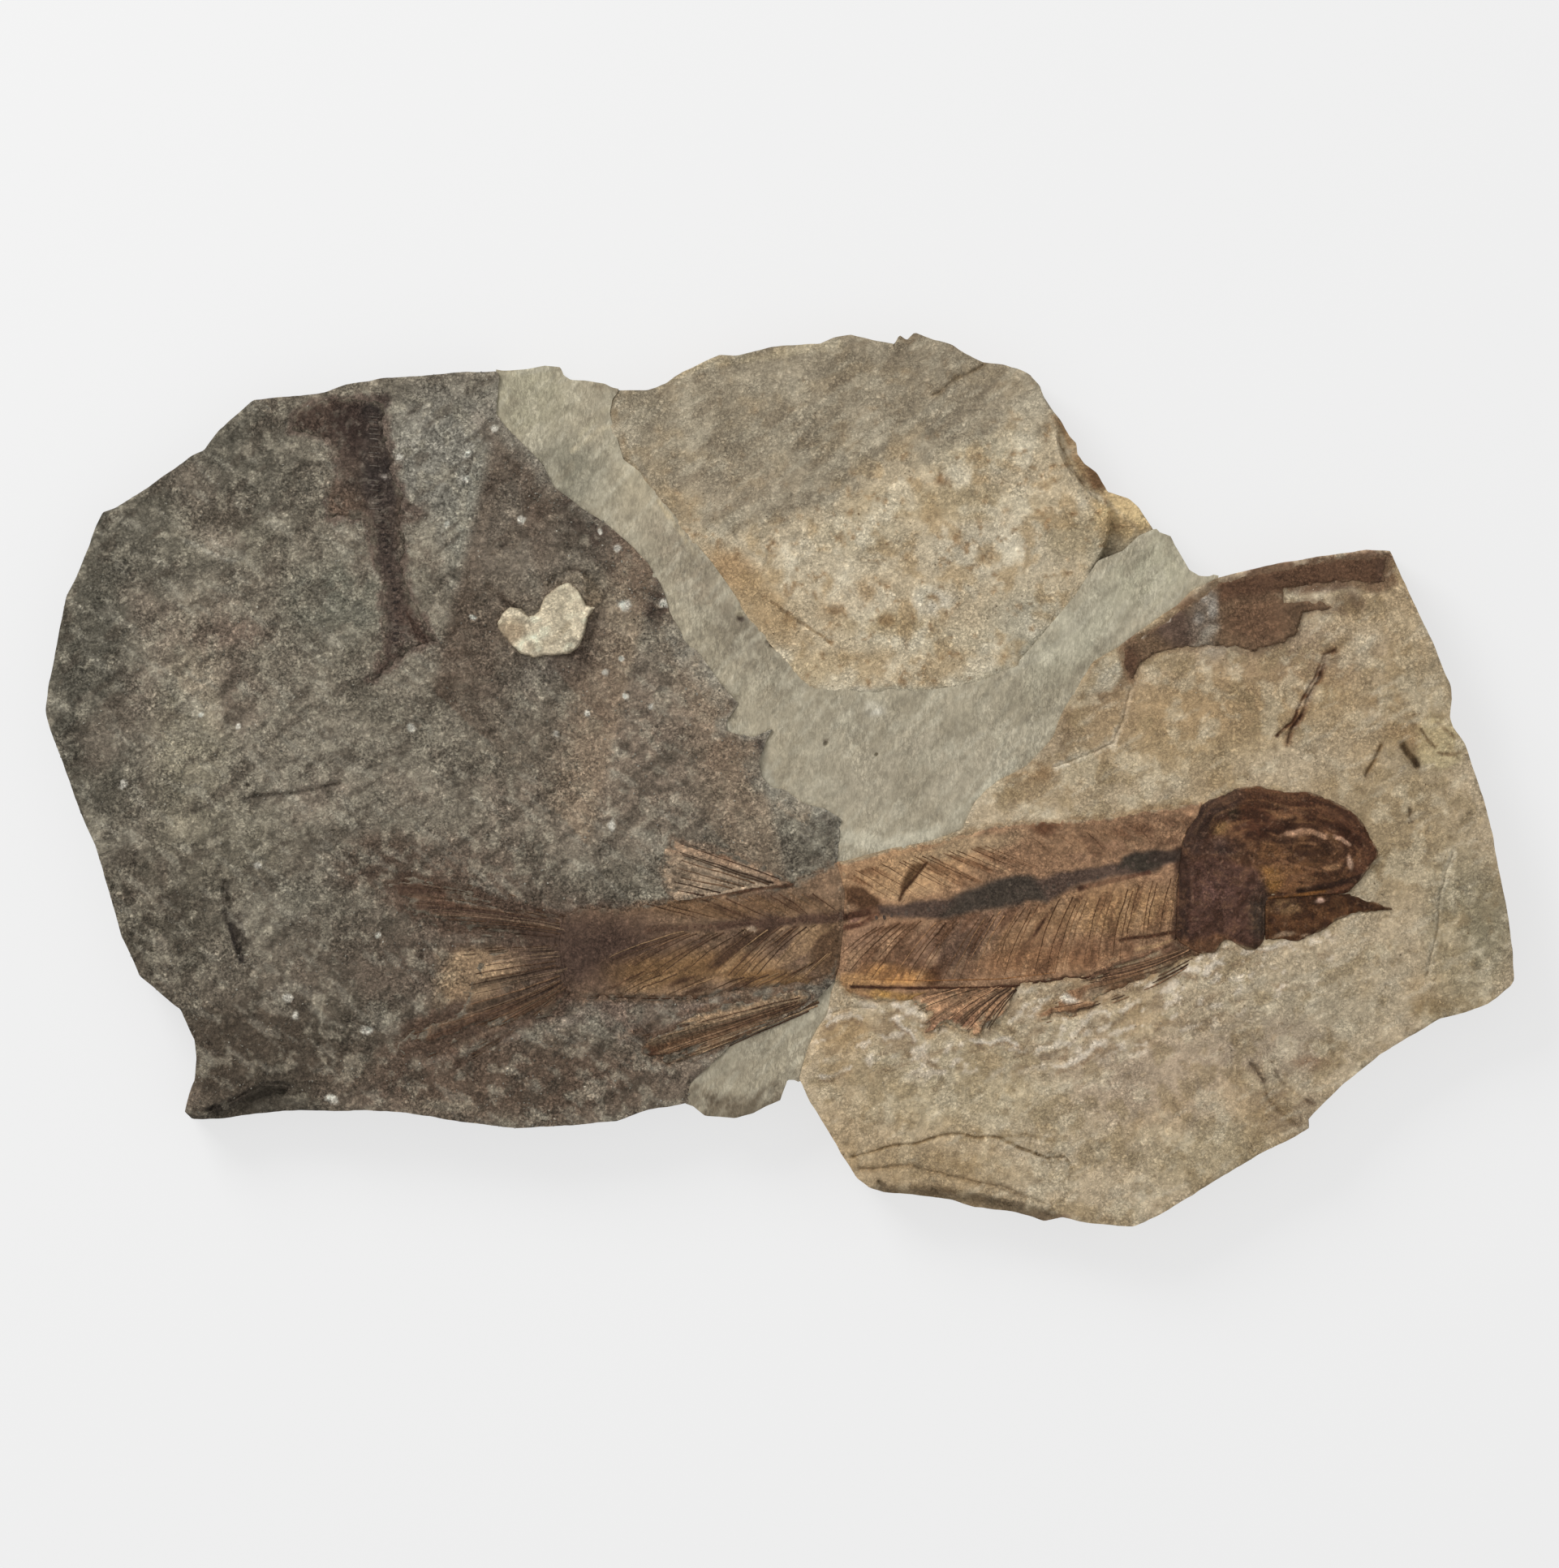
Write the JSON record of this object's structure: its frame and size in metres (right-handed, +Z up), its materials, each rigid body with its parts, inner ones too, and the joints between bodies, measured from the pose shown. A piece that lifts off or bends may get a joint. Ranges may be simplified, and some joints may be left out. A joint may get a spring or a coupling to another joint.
{
  "type": "fossil fish slab",
  "caption": "Fossil fish in low relief on a slab of three broken stone plates set flush in grey cement.",
  "frame": {"origin": "middle of the bounding box of the flat back, on the surface that the slab lies on", "axes": "+X along the slab's length toward the fish's head, +Y toward the fish's back, +Z up out of the fossil face"},
  "size_m": [0.4516, 0.275, 0.0214],
  "materials": {
    "dark_slate": "matt, grainy",
    "tan_limestone": "matt, grainy",
    "mottled_limestone": "matt, grainy",
    "cement": "brushed, matt",
    "cream_flake": "matt, grainy",
    "fossil_trunk": "matt, grainy",
    "fossil_fin": "matt, grainy",
    "fossil_bone": "slightly shiny mineralised bone",
    "second_fossil": "matt, grainy",
    "bone_patch": "matt, grainy"
  },
  "bodies": {
    "root": {"bone_patch": "bone_patch", "dark_slate_plate": "dark_slate", "fish_anal_fin": "fossil_fin", "fish_dorsal_fin": "fossil_fin", "fish_lower_jaw": "fossil_bone", "fish_pectoral_fin": "fossil_fin", "fish_pelvic_fin": "fossil_fin", "fish_skull": "fossil_bone", "fish_tail_fin": "fossil_fin", "fish_trunk_front": "fossil_trunk", "fish_trunk_rear": "fossil_trunk", "grey_cement_joint": "cement", "limestone_flake": "cream_flake", "lower_cement_fill": "cement", "mottled_upper_plate": "mottled_limestone", "second_fossil": "second_fossil", "tan_limestone_plate": "tan_limestone"}
  },
  "joints": []
}
